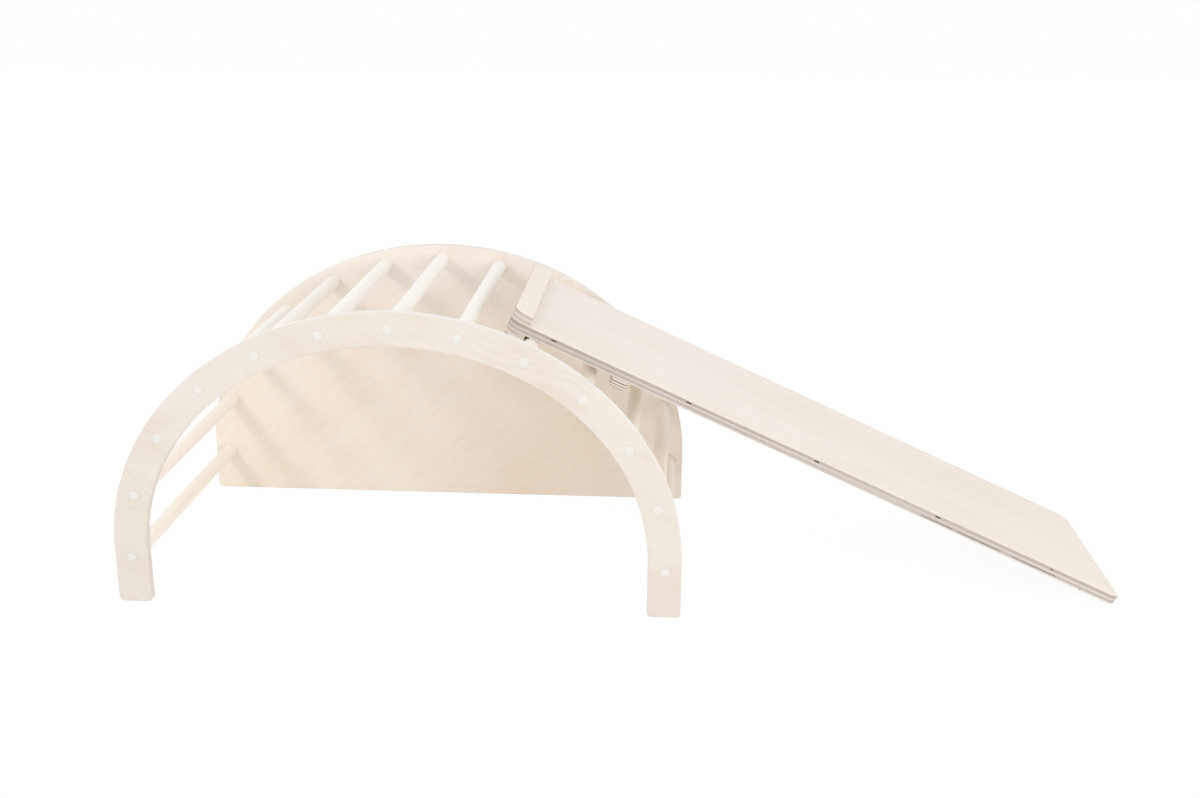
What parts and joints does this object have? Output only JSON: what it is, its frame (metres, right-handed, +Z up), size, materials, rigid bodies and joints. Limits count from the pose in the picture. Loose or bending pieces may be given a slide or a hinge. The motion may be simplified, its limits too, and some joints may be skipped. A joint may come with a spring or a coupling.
{
  "type": "children's climbing arch with ramp",
  "caption": "Low wooden climbing arch for small children, with dowel rungs, a solid back panel and a flat ramp that hooks onto a rung and slopes to the floor.",
  "frame": {"origin": "middle of the whole object's footprint, on the floor it stands on", "axes": "+X from the arch towards the ramp's foot, +Y from the open front arch to the solid back panel, +Z up"},
  "size_m": [1.8212, 0.6084, 0.55],
  "materials": {
    "arch_ply": "whitewashed birch plywood, matt, with eased rims",
    "panel_ply": "birch plywood panel, matt, with a broad cathedral grain",
    "ramp_ply": "birch plywood, satin, with its plies bare along the edges",
    "dowel": "turned and sanded hardwood dowel, satin",
    "white_cap": "white satin plastic cover cap, on the back together with its screw",
    "zinc_screw": "zinc-plated steel"
  },
  "bodies": {
    "arch": {"back_capped_screw_01": "white_cap", "back_capped_screw_02": "white_cap", "back_capped_screw_03": "white_cap", "back_capped_screw_04": "white_cap", "back_capped_screw_05": "white_cap", "back_capped_screw_06": "white_cap", "back_capped_screw_07": "white_cap", "back_capped_screw_08": "white_cap", "back_capped_screw_09": "white_cap", "back_capped_screw_10": "white_cap", "back_capped_screw_11": "white_cap", "back_capped_screw_12": "white_cap", "back_capped_screw_13": "white_cap", "back_panel": "panel_ply", "front_arch": "arch_ply", "front_cap_01": "white_cap", "front_cap_02": "white_cap", "front_cap_03": "white_cap", "front_cap_04": "white_cap", "front_cap_05": "white_cap", "front_cap_06": "white_cap", "front_cap_07": "white_cap", "front_cap_08": "white_cap", "front_cap_09": "white_cap", "front_cap_10": "white_cap", "front_cap_11": "white_cap", "front_cap_12": "white_cap", "front_cap_13": "white_cap", "front_screw_01": "zinc_screw", "front_screw_02": "zinc_screw", "front_screw_03": "zinc_screw", "front_screw_04": "zinc_screw", "front_screw_05": "zinc_screw", "front_screw_06": "zinc_screw", "front_screw_07": "zinc_screw", "front_screw_08": "zinc_screw", "front_screw_09": "zinc_screw", "front_screw_10": "zinc_screw", "front_screw_11": "zinc_screw", "front_screw_12": "zinc_screw", "front_screw_13": "zinc_screw", "rung_01": "dowel", "rung_02": "dowel", "rung_03": "dowel", "rung_04": "dowel", "rung_05": "dowel", "rung_06": "dowel", "rung_07": "dowel", "rung_08": "dowel", "rung_10": "dowel", "rung_11": "dowel", "rung_12": "dowel", "rung_13": "dowel"},
    "hook_rung": {"rung_09": "dowel"},
    "ramp": {"ramp_board": "ramp_ply", "ramp_hook_bar": "ramp_ply", "ramp_lock_bar": "ramp_ply", "ramp_top_bar": "ramp_ply"}
  },
  "joints": [
    {"name": "ramp_tilt", "type": "hinge", "parent": "arch", "child": "hook_rung", "pos_m": [-0.16783, 0, 0.46783], "axis": [0, -1, 0], "range_deg": [0, 45]},
    {"name": "ramp_lift", "type": "slide", "parent": "hook_rung", "child": "ramp", "axis": [0.4118, 0, 0.9113], "range_m": [0, 0.08]}
  ]
}
